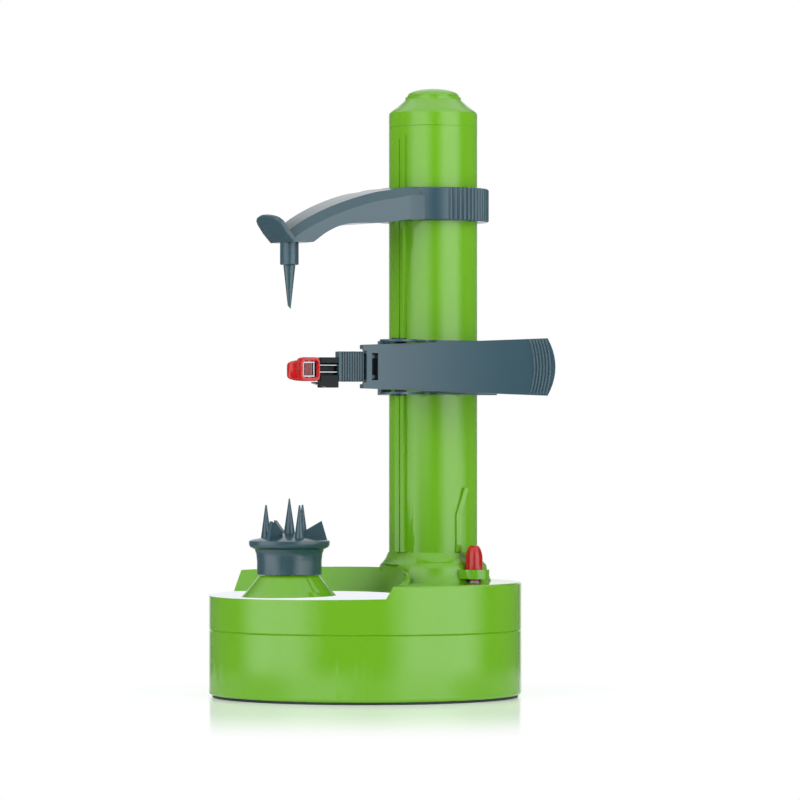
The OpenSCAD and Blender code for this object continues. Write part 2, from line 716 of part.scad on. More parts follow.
// half height of the lever cover at a distance x from its blade end
function lever_half(x) = (lever_low_h + (lever_high_h - lever_low_h) * x / (0.95 * lever_len)) / 2;
lever_left = -14;
cover_end = -15.6;
lever_cx = lever_left + lever_len;
cover_front = -5.66;
lever_cy = cover_front - sqrt(lever_curve_r * lever_curve_r - lever_cx * lever_cx);
cover_wall = 1.8;
window_x = 2.6;
window_h = 11.5;
module lever_cover() color(grey) at_pivot() difference() {
    union() {
        difference() {
            lever_full(0, lever_t, 0);
            rotate([0, 0, head_yaw]) cover_end_cut();
            lever_full(cover_wall, 2 * lever_t, cover_wall);
        }
        translate([0, 0, -lever_half(-lever_left)]) cylinder(r = 2.2 * pivot_r,
            h = 2 * lever_half(-lever_left));
    }
    translate([0, 0, -carriage_h]) cylinder(r = pivot_r + fit, h = 2 * carriage_h);
    translate([0, 0, coil_z - gap]) cylinder(r = coil_r + wire_r + gap, h = carriage_h);
    window_cut();
}

// the end of the cover is cut back round the grip, so that two ears stay above and below it
lip_x = -17.2;
lip_back = 0.3;
module cover_end_cut() {
    box([-hide, -hide, -hide], [lip_x, hide, hide]);
    box([-hide, -hide, -grip_h / 2 - gap], [cover_end, hide, grip_h / 2 + gap]);
    box([-hide, lip_back, -hide], [cover_end, hide, hide]);
}

// the window in the front of the lever, which shows the latch hole of the cartridge
module window_cut() {
    box([lever_left + window_x, -2 * lever_t, -window_h / 2],
        [lever_left + 2 * window_x, -1.2 * pivot_r, window_h / 2]);
}

// the whole outline of the lever, shrunk by the wall for its hollow
module lever_full(near, far, shrink) {
    intersection() {
        translate([lever_cx, lever_cy, -lever_high_h]) difference() {
            cylinder(r = lever_curve_r + far, h = 2 * lever_high_h, $fn = 256);
            translate([0, 0, -over]) cylinder(r = lever_curve_r + near,
                h = 2 * lever_high_h + 2 * over, $fn = 256);
        }
        rotate([90, 0, 0]) linear_extrude(height = lever_len, center = true)
            polygon(concat([[lever_left - 4 * cover_wall, lever_half(-4 * cover_wall) - shrink],
                [lever_left - 4 * cover_wall, -lever_half(-4 * cover_wall) + shrink]],
                [for (s = [-1:0.2:1]) [lever_cx - shrink - 0.27 * lever_half(lever_len) * s * s,
                    s * (lever_half(0.95 * lever_len) - shrink)]]));
    }
}

// a coil round the pivot pin, sunk in the top end of the lever's barrel
coil_r = pivot_r + 2 * wire_r;
coil_len = 5.6;
coil_z = carriage_h / 2 - plate_t - coil_len;
module lever_spring() color(steel) at_pivot() translate([0, 0, coil_z + wire_r])
    tube(helix(coil_r, coil_len - 2 * wire_r - fit, 5, 12), wire_r);

channel_end = -2.2 * pivot_r - gap;
channel_y = [-3.4, 2.2];
channel_h = 14.8;
tail_y = [-2.2, 1];
tail_h = 10.4;
module lever_channel() color(grey) at_head() difference() {
    box([cover_end + gap, channel_y[0], -channel_h / 2], [channel_end, channel_y[1], channel_h / 2]);
    box([cover_end, tail_y[0] - gap, -tail_h / 2 - gap],
        [channel_end + over, tail_y[1] + gap, tail_h / 2 + gap]);
    rotate([0, 0, -head_yaw]) window_cut();
}

grip_x = -27.5;
grip_end = cover_end - 2 * gap;
grip_h = 12.9;
grip_y = [-3.9, 2.3];
rib_pitch = 1.1;
rib_t = 0.55;
rib_h = 0.6;
latch_x = [-12.6, -10.1];
module cartridge_grip() color(grey) at_head() difference() {
    union() {
        box([grip_x, grip_y[0] + rib_h, -grip_h / 2 + rib_h],
            [grip_end, grip_y[1] - rib_h, grip_h / 2 - rib_h]);
        box([grip_x, grip_y[0], -grip_h / 2], [grip_x + rib_pitch, grip_y[1], grip_h / 2]);
        for (x = [grip_x + 1.5 * rib_pitch:rib_pitch:grip_end - rib_t])
            box([x, grip_y[0], -grip_h / 2], [x + rib_t, grip_y[1], grip_h / 2]);
        box([grip_end - gap, tail_y[0], -tail_h / 2], [channel_end - gap, tail_y[1], tail_h / 2]);
    }
    box([latch_x[0], tail_y[0] - over, -tail_h / 3], [latch_x[1], tail_y[1] + over, tail_h / 3]);
}

bracket_x = -35.5;
bracket_tip = -38.3;
yoke_h = 10.2;
yoke_z = -1.2;
yoke_low = yoke_z - yoke_h / 2;
yoke_top = yoke_z + yoke_h / 2;
bracket_low = -9;
bracket_back = 0.6;
bracket_bar_z = 1.4;
bracket_drop = 0.5;
bracket_foot_h = 5.3;
module bracket_outline(points, y0, y1) {
    translate([0, y1, 0]) rotate([90, 0, 0]) linear_extrude(height = y1 - y0) polygon(points);
}
module cartridge_bracket() color(dark) at_head() union() {
    box([bracket_x, grip_y[0] + gap, bracket_bar_z], [grip_x, grip_y[1] - gap, yoke_top]);
    bracket_outline([[bracket_tip, yoke_low - gap], [bracket_tip, yoke_low - gap - bracket_drop],
        [0.85 * bracket_tip, bracket_low], [grip_x, bracket_low],
        [grip_x, bracket_low + bracket_foot_h], [bracket_x, bracket_low + bracket_foot_h],
        [bracket_x, yoke_low - gap]],
        grip_y[0] + gap, grip_y[1] - gap);
    box([bracket_x, bracket_back, bracket_low], [grip_x, grip_y[1] - gap, yoke_top]);
}

pin_r = 0.45;
pin_y = -1.6;
pin_z = [0.6, -2.4];
yoke_x = [-49.4, -36];
module cartridge_pins() color(steel) at_head() for (z = pin_z)
    translate([yoke_x[1] - 2 * pin_r, pin_y, z]) rotate([0, 90, 0])
        cylinder(r = pin_r, h = grip_x - yoke_x[1] + 2 * pin_r);

yoke_y = [-5.2, 0.8];
bar_h = 1.6;
opening_x = [-43.4, -37.2];
blade_x = -40.4;
blade_y = -2.2;
stud_r = 0.6;
yoke_back = 0.9;
slit_half = 1.9;
module blade_yoke() color(red) at_head() difference() {
    translate([0, 0, yoke_z]) difference() {
        union() {
            box([opening_x[0] - bar_h, yoke_y[0], -yoke_h / 2], [yoke_x[1], yoke_y[1], yoke_h / 2]);
            bracket_outline([[opening_x[0] - bar_h, 0.4 * yoke_h], [opening_x[0] - bar_h, -yoke_h / 2],
                [yoke_x[0] + over, -0.47 * yoke_h], [yoke_x[0], -0.35 * yoke_h],
                [yoke_x[0], 0.2 * yoke_h], [yoke_x[0] + over, 0.33 * yoke_h]],
                yoke_y[0] + over, yoke_y[1]);
        }
        box([opening_x[0], yoke_y[0] - over, -yoke_h / 2 + bar_h],
            [opening_x[1], yoke_y[1] - yoke_back, yoke_h / 2 - bar_h]);
        box([blade_x - slit_half, yoke_y[0], -yoke_h / 2 + bar_h],
            [blade_x + slit_half, yoke_y[1] + over, yoke_h / 2 - bar_h]);
        translate([blade_x, blade_y, -yoke_h / 2 + bar_h / 2])
            cylinder(r = stud_r + fit, h = yoke_h - bar_h);
    }
    for (z = pin_z) translate([yoke_x[1] - 2 * pin_r, pin_y, z]) rotate([0, 90, 0])
        cylinder(r = pin_r, h = over + 2 * pin_r);
}

blade_r = 2.6;
blade_t = 0.5;
module peel_blade() color(steel) at_head() translate([blade_x, blade_y, yoke_z]) difference() {
    union() {
        intersection() {
            translate([0, 0, -yoke_h / 2 + bar_h + gap]) ring(blade_r, blade_r - blade_t,
                yoke_h - 2 * bar_h - 2 * gap);
            box([-blade_r, 0, -yoke_h], [blade_r, blade_r, yoke_h]);
        }
        for (s = [0, 1]) mirror([0, 0, s]) {
            translate([0, 0, yoke_h / 2 - bar_h - gap - blade_t]) intersection() {
                cylinder(r = blade_r, h = blade_t);
                box([-blade_r, -stud_r, 0], [blade_r, blade_r, blade_t]);
            }
            translate([0, 0, yoke_h / 2 - bar_h - gap - blade_t])
                cylinder(r = stud_r, h = bar_h / 2 + blade_t);
        }
    }
    box([-blade_t / 2, 0, -yoke_h / 4], [blade_t, 2 * blade_r, yoke_h / 4]);
}

// side outline of the arm from the ring to the tip, as shares of the reach and of the drop
reach = column_x - turn_x;
drop = 24.9;
arm_top_shares = [[0.3, 0], [0.42, 0.064], [0.5, 0.1], [0.62, 0.193], [0.79, 0.37], [0.94, 0.582],
    [1.07, 0.827]];
arm_low_shares = [[1.057, 1], [0.925, 1], [0.86, 0.855], [0.76, 0.707], [0.67, 0.657], [0.5, 0.643],
    [0.32, 0.578]];
arm_half = [17.5, 9];
boss_r = 4;
boss_top = arm_z + ring_h - drop;
boss_h = 9.5;
spike_r = 2.6;
spike_stem = 1.6;
spike_slant = 48;
notch_w = 1.9;
function arm_points(shares) = [for (s = shares) [column_x - reach * s[0], arm_z + ring_h - drop * s[1]]];

// the thumb plate leans out from the tip of the arm
wing_half = 9.5;
wing_len = 14.2;
wing_round = 4;
wing_t = 1.9;
wing_lean = 49.5;
module arm_wing() {
    translate([column_x - reach * arm_low_shares[0][0], 0, boss_top]) rotate([0, 180 + wing_lean, 0])
        translate([0, 0, -wing_t]) linear_extrude(height = wing_t) polygon([[0, -wing_half],
            for (a = [-90:15:90]) [wing_len - wing_round + wing_round * cos(a), wing_half * sin(a)],
            [0, wing_half]]);
}

module upper_arm() color(grey) difference() {
    union() {
        at_column(arm_z) cylinder(r = ring_r, h = ring_h, $fn = 96);
        intersection() {
            rotate([90, 0, 0]) linear_extrude(height = 2 * ring_r, center = true)
                polygon(concat([[column_x, arm_z + ring_h]], arm_points(arm_top_shares),
                    arm_points(arm_low_shares), [[column_x, arm_z]]));
            linear_extrude(height = 2 * column_top) polygon([[column_x, arm_half[0]],
                [column_x - ring_r, arm_half[0]], [turn_x - 0.08 * reach, arm_half[1]],
                [turn_x - 0.08 * reach, -arm_half[1]], [column_x - ring_r, -arm_half[0]],
                [column_x, -arm_half[0]]]);
        }
        arm_wing();
        at_turn(boss_top - boss_h) cylinder(r = boss_r, h = boss_h + boss_r);
    }
    at_column(0) cylinder(r = column_r + gap, h = 2 * column_top);
    at_column(0) guide_box(guide_w + 2 * gap, guide_out + gap, 0, 2 * column_top);
    at_turn(boss_top - boss_h - over) cylinder(r = spike_stem + fit, h = over + 0.9 * boss_h);
    at_turn(boss_top) rotate([0, 0, -lever_yaw])
        box([spike_stem + gap, -boss_r - over, -notch_w], [spike_stem + gap + notch_w, 0, -gap]);
}

module upper_spike() color(grey) at_turn(boss_top - boss_h - gap / 2) difference() {
    union() {
        translate([0, 0, -spike_len]) cylinder(r1 = 0.22 * spike_r, r2 = spike_r, h = spike_len);
        cylinder(r = spike_stem, h = 0.85 * boss_h);
    }
    rotate([0, 0, -lever_yaw]) translate([0.22 * spike_r, 0, -spike_len]) rotate([0, spike_slant, 0])
        box([-4 * spike_r, -spike_r, -spike_len], [0, spike_r, 0]);
}

module knife_handle() color(red) translate([knife_x, knife_y, 0]) union() {
    translate([0, 0, deck_z + gap]) cylinder(r = knife_fit, h = ledge_top - deck_z);
    translate([0, 0, ledge_top]) rotate_extrude() polygon(concat([[0, 0], [knife_r, 0]],
        [for (a = [0:15:75]) [knife_r * (1 - 0.12 * sin(a)) * cos(0.8 * a),
            knife_h * (0.5 + 0.5 * sin(a))]], [[0, knife_h]]));
}

knife_depth = 12;
knife_t = 0.6;
module knife_blade() color(steel) translate([knife_x, knife_y, 0]) difference() {
    box([-knife_fit * 0.75, -knife_t / 2, deck_z - knife_depth],
        [knife_fit * 0.75, knife_t / 2, deck_z + gap]);
    translate([-knife_fit * 0.75, 0, deck_z - knife_depth]) rotate([0, 45, 0])
        cube([knife_fit, knife_fit, knife_fit * 2.2], center = true);
}

foot_ring();
base_lower_shell();
battery_cover();
battery_tray();
battery_cells();
battery_contacts();
gear_plate();
gear_axles();
motor_can();
motor_pinion();
compound_gear();
idler_gear();
turntable_gear();
turntable_spindle();
spindle_bush();
screw_gear();
lead_screw();
screw_bush();
base_upper_shell();
shell_screws();
food_cup();
column_tube();
column_cap();
start_switch();
button_spring();
start_button();
carriage_body();
half_nut();
pivot_pin();
lever_spring();
lever_cover();
lever_channel();
cartridge_grip();
cartridge_bracket();
cartridge_pins();
blade_yoke();
peel_blade();
upper_arm();
upper_spike();
knife_handle();
knife_blade();
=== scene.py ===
"""Electric potato peeler: finish, small detail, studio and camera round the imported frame."""
import json
import math

import bmesh
import bpy
from mathutils import Matrix, Vector


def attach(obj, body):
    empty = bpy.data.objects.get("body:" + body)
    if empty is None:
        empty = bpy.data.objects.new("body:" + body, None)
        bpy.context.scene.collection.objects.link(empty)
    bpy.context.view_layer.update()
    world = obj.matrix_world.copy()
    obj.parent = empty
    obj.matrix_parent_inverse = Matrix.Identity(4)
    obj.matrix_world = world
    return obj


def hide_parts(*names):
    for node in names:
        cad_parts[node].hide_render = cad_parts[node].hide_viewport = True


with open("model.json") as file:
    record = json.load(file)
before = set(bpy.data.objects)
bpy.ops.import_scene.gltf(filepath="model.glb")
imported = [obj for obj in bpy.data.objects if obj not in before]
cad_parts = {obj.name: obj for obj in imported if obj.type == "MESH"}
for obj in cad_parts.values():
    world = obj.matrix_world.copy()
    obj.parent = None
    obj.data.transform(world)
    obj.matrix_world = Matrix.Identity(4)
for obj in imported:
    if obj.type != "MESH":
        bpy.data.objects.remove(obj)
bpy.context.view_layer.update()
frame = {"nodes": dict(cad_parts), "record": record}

MM = 0.001
WHITE = (1, 1, 1, 1)
BODY_OF = {node: body for body, nodes in frame["record"]["behaviour"]["bodies"].items()
           for node in nodes}
SLOT_OF = {row["node"]: row["material_slot"] for row in frame["record"]["subparts"]}


def srgb(red, green, blue):
    """A colour given in display values from 0 to 255, as linear values."""
    def one(value):
        share = value / 255
        return share / 12.92 if share <= 0.04045 else ((share + 0.055) / 1.055) ** 2.4
    return (one(red), one(green), one(blue), 1.0)


# The photograph is taken from this side of the object, in degrees from its +Y.
VIEW_YAW = -33.5
CAMERA_RIGHT = 15 * MM
CAMERA_BACK = 1974 * MM
CAMERA_HEIGHT = 112 * MM
# The picture's side, the focal length and the row of the horizon in pixels, and the sensor's
# width in millimetres.
PICTURE = 800
FOCUS_PX = 4570
HORIZON_PX = 437
SENSOR = 36
CLIP_NEAR = 0.1
CLIP_FAR = 20


def seen(right, away, up=0.0):
    """A point to the right of, away from and above the base's centre, as the camera sees it."""
    return Matrix.Rotation(math.radians(VIEW_YAW), 4, "Z") @ Vector((right, away, up))


def make_camera():
    data = bpy.data.cameras.new("camera")
    data.sensor_width = SENSOR
    data.lens = FOCUS_PX / PICTURE * SENSOR
    data.shift_y = (HORIZON_PX - PICTURE / 2) / PICTURE
    data.clip_start = CLIP_NEAR
    data.clip_end = CLIP_FAR
    camera = bpy.data.objects.new("camera", data)
    bpy.context.scene.collection.objects.link(camera)
    camera.location = seen(CAMERA_RIGHT, -CAMERA_BACK, CAMERA_HEIGHT)
    camera.rotation_euler = (math.radians(90), 0, math.radians(VIEW_YAW))
    bpy.context.scene.camera = camera


# Studio: two tall soft boxes left and right of the camera, one above, and a pale world. The lamps
# light the surfaces; what glossy surfaces mirror of the boxes is drawn in the world with soft
# edges.
LAMP_DISTANCE = 1.3
LAMP_CENTRE = Vector((0, 0, 0.15))


def soft_box(name, azimuth, elevation, width, height, power):
    """A lamp round the column. Azimuth runs from the camera's side to the right, in degrees."""
    data = bpy.data.lights.new(name, "AREA")
    data.shape = "RECTANGLE"
    data.size = width
    data.size_y = height
    data.energy = power
    lamp = bpy.data.objects.new(name, data)
    lamp.visible_glossy = False
    bpy.context.scene.collection.objects.link(lamp)
    turn, rise = math.radians(azimuth), math.radians(elevation)
    back = seen(math.sin(turn) * math.cos(rise), -math.cos(turn) * math.cos(rise), math.sin(rise))
    lamp.location = LAMP_CENTRE + LAMP_DISTANCE * back
    lamp.rotation_mode = "QUATERNION"
    lamp.rotation_quaternion = back.to_track_quat("Z", "Y")


# The world gives matt surfaces an even fill, and reflections two soft boxes and white straight
# behind. A box is given by the azimuths of its left and right side from the camera's side, to the
# right positive, and its level. Upright walls below eye level mirror the low pair, walls above it
# the high pair.
FILL = 0.3
FILL_COLOUR = (0.95, 0.98, 1.0, 1)
MIRROR_COLOUR = (0.98, 0.99, 1.0, 1)
LOW_BOXES = [(-80, -55, 2.6), (40, 75, 2.8)]
HIGH_BOXES = [(-45, -25, 2.5), (35, 55, 3.0)]
BOX_EDGE = 30
BRIGHTEST = 3.0
ROOM = 0.2
BEHIND_FROM = 158
BEHIND_FULL = 168
# Between these heights of the mirrored direction the low pair gives way to the high one, and
# further up both give way to an even ceiling.
EYE_LEVEL = (-0.026, 0.018)
CEILING_RISE = (0.4, 0.8)
CEILING = 1.5


def add_node(tree, kind, inputs, **settings):
    """A shader node. Its inputs, by name or number, take another node's output or a value."""
    made = tree.nodes.new("ShaderNode" + kind)
    for name, value in settings.items():
        setattr(made, name, value)
    for key, value in inputs.items():
        if isinstance(value, bpy.types.NodeSocket):
            tree.links.new(value, made.inputs[key])
        else:
            made.inputs[key].default_value = value
    return made


def add_math(tree, operation, *values):
    """The result of a calculation on outputs or numbers."""
    return add_node(tree, "Math", dict(enumerate(values)), operation=operation).outputs[0]


def add_rise(tree, value, start, end, kind="SMOOTHSTEP"):
    """A value that rises from 0 to 1 while the given one goes from start to end."""
    return add_node(tree, "MapRange", {"From Min": start, "From Max": end, "Value": value},
                    interpolation_type=kind).outputs["Result"]


def add_blend(tree, share, first, second):
    """A blend of two shader nodes."""
    return add_node(tree, "MixShader", {0: share, 1: first.outputs[0], 2: second.outputs[0]})


def add_azimuth(tree, direction):
    """The azimuth of a direction from the camera's side, as a share from 0 to 1."""
    across, towards = [
        add_node(tree, "VectorMath", {0: direction, 1: way}, operation="DOT_PRODUCT")
        for way in (seen(1, 0), seen(0, -1))]
    turn = add_math(tree, "ARCTAN2", across.outputs["Value"], towards.outputs["Value"])
    return add_math(tree, "MULTIPLY_ADD", turn, 0.5 / math.pi, 0.5)


def add_boxes(tree, azimuth, boxes):
    """Brightness by azimuth: a dim room, soft boxes with soft edges, and white straight behind."""
    levels = [(-BEHIND_FULL, 1.0), (-BEHIND_FROM, ROOM)]
    for left, right, level in boxes:
        levels += [(left - BOX_EDGE, ROOM), (left, level)]
        levels += [(right, level), (right + BOX_EDGE, ROOM)]
    levels += [(BEHIND_FROM, ROOM), (BEHIND_FULL, 1.0)]
    ramp = add_node(tree, "ValToRGB", {"Fac": azimuth})
    ramp.color_ramp.interpolation = "EASE"
    stops = ramp.color_ramp.elements
    while len(stops) < len(levels):
        stops.new(1.0)
    for stop, (angle, level) in zip(stops, levels):
        stop.position = 0.5 + angle / 360
        share = level / BRIGHTEST
        stop.color = (share, share, share, 1)
    return add_math(tree, "MULTIPLY", ramp.outputs["Color"], BRIGHTEST)


def make_world():
    world = bpy.data.worlds.new("studio")
    bpy.context.scene.world = world
    world.use_nodes = True
    tree = world.node_tree
    tree.nodes.clear()
    direction = add_node(tree, "TexCoord", {}).outputs["Generated"]
    azimuth = add_azimuth(tree, direction)
    height = add_node(tree, "SeparateXYZ", {"Vector": direction}).outputs["Z"]
    low = add_boxes(tree, azimuth, LOW_BOXES)
    high = add_boxes(tree, azimuth, HIGH_BOXES)
    walls = add_node(tree, "Mix", {0: add_rise(tree, height, *EYE_LEVEL), 2: low, 3: high})
    level = add_node(tree, "Mix", {0: add_rise(tree, height, *CEILING_RISE),
                                   2: walls.outputs[0], 3: CEILING})
    fill = add_node(tree, "Background", {"Color": FILL_COLOUR, "Strength": FILL})
    mirrored = add_node(tree, "Background", {"Color": MIRROR_COLOUR,
                                             "Strength": level.outputs[0]})
    shown = add_node(tree, "Background", {"Color": WHITE, "Strength": 1.0})
    path = add_node(tree, "LightPath", {})
    glossy = add_math(tree, "MAXIMUM", path.outputs["Is Glossy Ray"],
                      path.outputs["Is Transmission Ray"])
    for_glossy = add_blend(tree, glossy, fill, mirrored)
    for_camera = add_blend(tree, path.outputs["Is Camera Ray"], for_glossy, shown)
    add_node(tree, "OutputWorld", {"Surface": for_camera.outputs[0]})


FLOOR_HALF = 6.0
FLOOR_COLOUR = (0.93, 0.94, 0.95, 1)
FLOOR_ROUGHNESS = 0.16
FLOOR_SHINE = 0.25
FLOOR_GLOW = 0.14
# Distances from the origin between which the floor turns white.
FLOOR_FADE = (0.12, 0.29)


def make_floor():
    """A pale, slightly glossy floor. It fades into the white world away from the object, and
    further out reflections pass through it, so that low walls mirror the soft boxes whole."""
    mesh = bpy.data.meshes.new("floor")
    corners = [(x * FLOOR_HALF, y * FLOOR_HALF, 0) for x, y in ((-1, -1), (1, -1), (1, 1), (-1, 1))]
    mesh.from_pydata(corners, [], [(0, 1, 2, 3)])
    floor = bpy.data.objects.new("floor", mesh)
    bpy.context.scene.collection.objects.link(floor)
    material = bpy.data.materials.new("floor")
    material.use_nodes = True
    tree = material.node_tree
    tree.nodes.clear()
    pale = add_node(tree, "BsdfPrincipled", {
        "Base Color": FLOOR_COLOUR, "Roughness": FLOOR_ROUGHNESS,
        "Specular IOR Level": FLOOR_SHINE, "Emission Color": WHITE,
        "Emission Strength": FLOOR_GLOW})
    white = add_node(tree, "Emission", {"Color": WHITE, "Strength": 1.0})
    clear = add_node(tree, "BsdfTransparent", {})
    path = add_node(tree, "LightPath", {})
    where = add_node(tree, "TexCoord", {})
    away = add_node(tree, "VectorMath", {0: where.outputs["Object"]}, operation="LENGTH")
    fade = add_rise(tree, away.outputs["Value"], *FLOOR_FADE)
    seen_by = add_math(tree, "MAXIMUM", path.outputs["Is Camera Ray"],
                       path.outputs["Is Glossy Ray"])
    beyond = add_blend(tree, path.outputs["Is Glossy Ray"], white, clear)
    shown = add_blend(tree, add_math(tree, "MULTIPLY", fade, seen_by), pale, beyond)
    add_node(tree, "OutputMaterial", {"Surface": shown.outputs[0]})
    mesh.materials.append(material)


# A painted reflection: the dish's floor glows white as it is seen more edge-on, where it is level
# and below this height.
GRAZE_RISE = (0.86, 0.93)
LEVEL_RISE = (0.985, 0.995)
DISH_TOP = 47.5 * MM
PAINTED_REFLECTION_COLOUR = (0.93, 0.96, 1.0, 1)
PAINTED_REFLECTION_STRENGTH = 0.95


def add_painted_grazing_reflection(material):
    """A painted reflection: where the floor of the dish is seen almost edge-on, a white glow stands
    in for its mirror of the white background.
    """
    tree = material.node_tree
    out = next(node for node in tree.nodes if node.type == "OUTPUT_MATERIAL")
    facing = add_node(tree, "LayerWeight", {"Blend": 0.5})
    graze = add_rise(tree, facing.outputs["Facing"], *GRAZE_RISE)
    geometry = add_node(tree, "NewGeometry", {})
    normal = add_node(tree, "SeparateXYZ", {"Vector": geometry.outputs["Normal"]})
    level = add_rise(tree, normal.outputs["Z"], *LEVEL_RISE, kind="LINEAR")
    where = add_node(tree, "TexCoord", {})
    place = add_node(tree, "SeparateXYZ", {"Vector": where.outputs["Object"]})
    inside = add_math(tree, "LESS_THAN", place.outputs["Z"], DISH_TOP)
    amount = add_math(tree, "MULTIPLY", inside, add_math(tree, "MULTIPLY", graze, level))
    # The painted reflection: a white glow that is mixed into the plastic.
    white = add_node(tree, "Emission", {"Color": PAINTED_REFLECTION_COLOUR, "Strength": PAINTED_REFLECTION_STRENGTH})
    shown = add_blend(tree, amount, tree.nodes["Principled BSDF"], white)
    tree.links.new(shown.outputs[0], out.inputs["Surface"])


# Finishes. Each is a procedural material on the object's own coordinates. Noise scales count
# waves in a metre.
DRIFT_SCALE = 22
WEAR_SCALE = 160
WEAR_SHARES = (0.85, 1.2)
RIPPLE_SCALE = 45
RIPPLE_DEPTH = 0.4 * MM
GRAIN_SIZE = 0.4 * MM
GRAIN_DEPTH = 0.05 * MM
TRANSLUCENT_RADIUS = (1.0, 0.4, 0.2)
TRANSLUCENT_DEPTH = 2 * MM
GRIND_SCALE = 2500
GRIND_STRETCH = (1, 1, 1 / 12)
GRIND_SHARES = (0.7, 1.3)
GRIND_STRENGTH = 0.15
GRIND_DEPTH = 0.02 * MM


def add_noise(tree, place, scale, detail):
    """Noise at the given place."""
    return add_node(tree, "TexNoise", {"Vector": place, "Scale": scale,
                                       "Detail": detail}).outputs["Fac"]


def add_uneven(tree, noise, roughness, shares):
    """Roughness that the noise takes up and down between two shares of it."""
    return add_node(tree, "MapRange", {"To Min": roughness * shares[0],
                                       "To Max": roughness * shares[1],
                                       "Value": noise}).outputs["Result"]


def add_bump(tree, height, strength, depth, below=None):
    """Relief of the given height, on top of the relief below."""
    inputs = {"Strength": strength, "Distance": depth, "Height": height}
    if below:
        inputs["Normal"] = below
    return add_node(tree, "Bump", inputs).outputs["Normal"]


def plastic(name, colour, roughness, shade=0.06, grain=0.0, ripple=0.0, translucent=0.0,
            shine=0.5):
    """Moulded plastic: slow tint drift, uneven gloss, fine grain and a long faint ripple."""
    material = bpy.data.materials.new(name)
    material.use_nodes = True
    tree = material.node_tree
    surface = tree.nodes["Principled BSDF"]
    surface.inputs["Specular IOR Level"].default_value = shine
    surface.inputs["Subsurface Weight"].default_value = translucent
    surface.inputs["Subsurface Radius"].default_value = TRANSLUCENT_RADIUS
    surface.inputs["Subsurface Scale"].default_value = TRANSLUCENT_DEPTH
    place = add_node(tree, "TexCoord", {}).outputs["Object"]
    darker = [c * (1 - shade) for c in colour[:3]] + [1]
    lighter = [min(1, c * (1 + shade)) for c in colour[:3]] + [1]
    drift = add_noise(tree, place, DRIFT_SCALE, 3)
    tint = add_node(tree, "Mix", {0: drift, 6: darker, 7: lighter}, data_type="RGBA")
    tree.links.new(tint.outputs[2], surface.inputs["Base Color"])
    wear = add_noise(tree, place, WEAR_SCALE, 5)
    tree.links.new(add_uneven(tree, wear, roughness, WEAR_SHARES), surface.inputs["Roughness"])
    normal = None
    if ripple:
        waves = add_noise(tree, place, RIPPLE_SCALE, 1)
        normal = add_bump(tree, waves, ripple, RIPPLE_DEPTH)
    if grain:
        fine = add_noise(tree, place, 1 / GRAIN_SIZE, 2)
        normal = add_bump(tree, fine, grain, GRAIN_DEPTH, normal)
    if normal:
        tree.links.new(normal, surface.inputs["Normal"])
    return material


def steel(name, colour, roughness):
    """Ground steel: fine lines drawn out along one way, with uneven gloss."""
    material = bpy.data.materials.new(name)
    material.use_nodes = True
    tree = material.node_tree
    surface = tree.nodes["Principled BSDF"]
    surface.inputs["Base Color"].default_value = colour
    surface.inputs["Metallic"].default_value = 1.0
    where = add_node(tree, "TexCoord", {})
    stretch = add_node(tree, "Mapping", {"Vector": where.outputs["Object"],
                                         "Scale": GRIND_STRETCH})
    lines = add_noise(tree, stretch.outputs["Vector"], GRIND_SCALE, 3)
    gloss = add_uneven(tree, lines, roughness, GRIND_SHARES)
    tree.links.new(gloss, surface.inputs["Roughness"])
    tree.links.new(add_bump(tree, lines, GRIND_STRENGTH, GRIND_DEPTH), surface.inputs["Normal"])
    return material


FINISH = {
    "green_plastic": plastic("green_plastic", srgb(99, 159, 23), 0.07, shade=0.025, ripple=0.03),
    "grey_plastic": plastic("grey_plastic", srgb(46, 72, 82), 0.2, shade=0.04, grain=0.2),
    "black_plastic": plastic("black_plastic", srgb(20, 24, 26), 0.26, grain=0.2, shine=0.15),
    "black_rubber": plastic("black_rubber", srgb(34, 36, 36), 0.65, grain=0.5),
    "red_plastic": plastic("red_plastic", srgb(170, 12, 10), 0.12, shade=0.05, translucent=0.15),
    "white_plastic": plastic("white_plastic", srgb(232, 232, 226), 0.4, grain=0.2),
    "steel": steel("steel", srgb(158, 161, 166), 0.22),
    "dark_steel": steel("dark_steel", srgb(62, 68, 72), 0.4),
    "brass": steel("brass", srgb(208, 176, 110), 0.25),
    "cell_wrap": plastic("cell_wrap", srgb(150, 152, 156), 0.2),
}
# Paints a white reflection, as a glow, on the level floor of the dish where it is seen edge-on.
add_painted_grazing_reflection(FINISH["green_plastic"])

for node_name, cad_object in frame["nodes"].items():
    cad_object.data.materials.clear()
    cad_object.data.materials.append(FINISH[SLOT_OF[node_name]])


def round_edges(target, width, segments, angle):
    """Rounds the edges that are sharper than the angle, by a width in millimetres."""
    bevel = target.modifiers.new("rounded edges", "BEVEL")
    bevel.width = width * MM
    bevel.segments = segments
    bevel.limit_method = "ANGLE"
    bevel.angle_limit = math.radians(angle)
    bevel.harden_normals = True
    return bevel


# The CAD solids that get rounded edges: the width of the rounding in millimetres.
ROUNDING = {
    "base_lower_shell": 0.35, "base_upper_shell": 0.5, "column_tube": 0.25, "column_cap": 0.4,
    "start_button": 0.3, "upper_spike": 0.15, "food_cup": 0.3,
    "carriage_body": 0.2, "lever_cover": 0.35, "lever_channel": 0.3, "cartridge_grip": 0.2,
    "cartridge_bracket": 0.25, "knife_handle": 0.2, "foot_ring": 0.2,
}
SKIN_SEGMENTS = 3
SKIN_ANGLE = 33
SKIN_FLAT = 0.4
SKIN_WELD = 2e-6


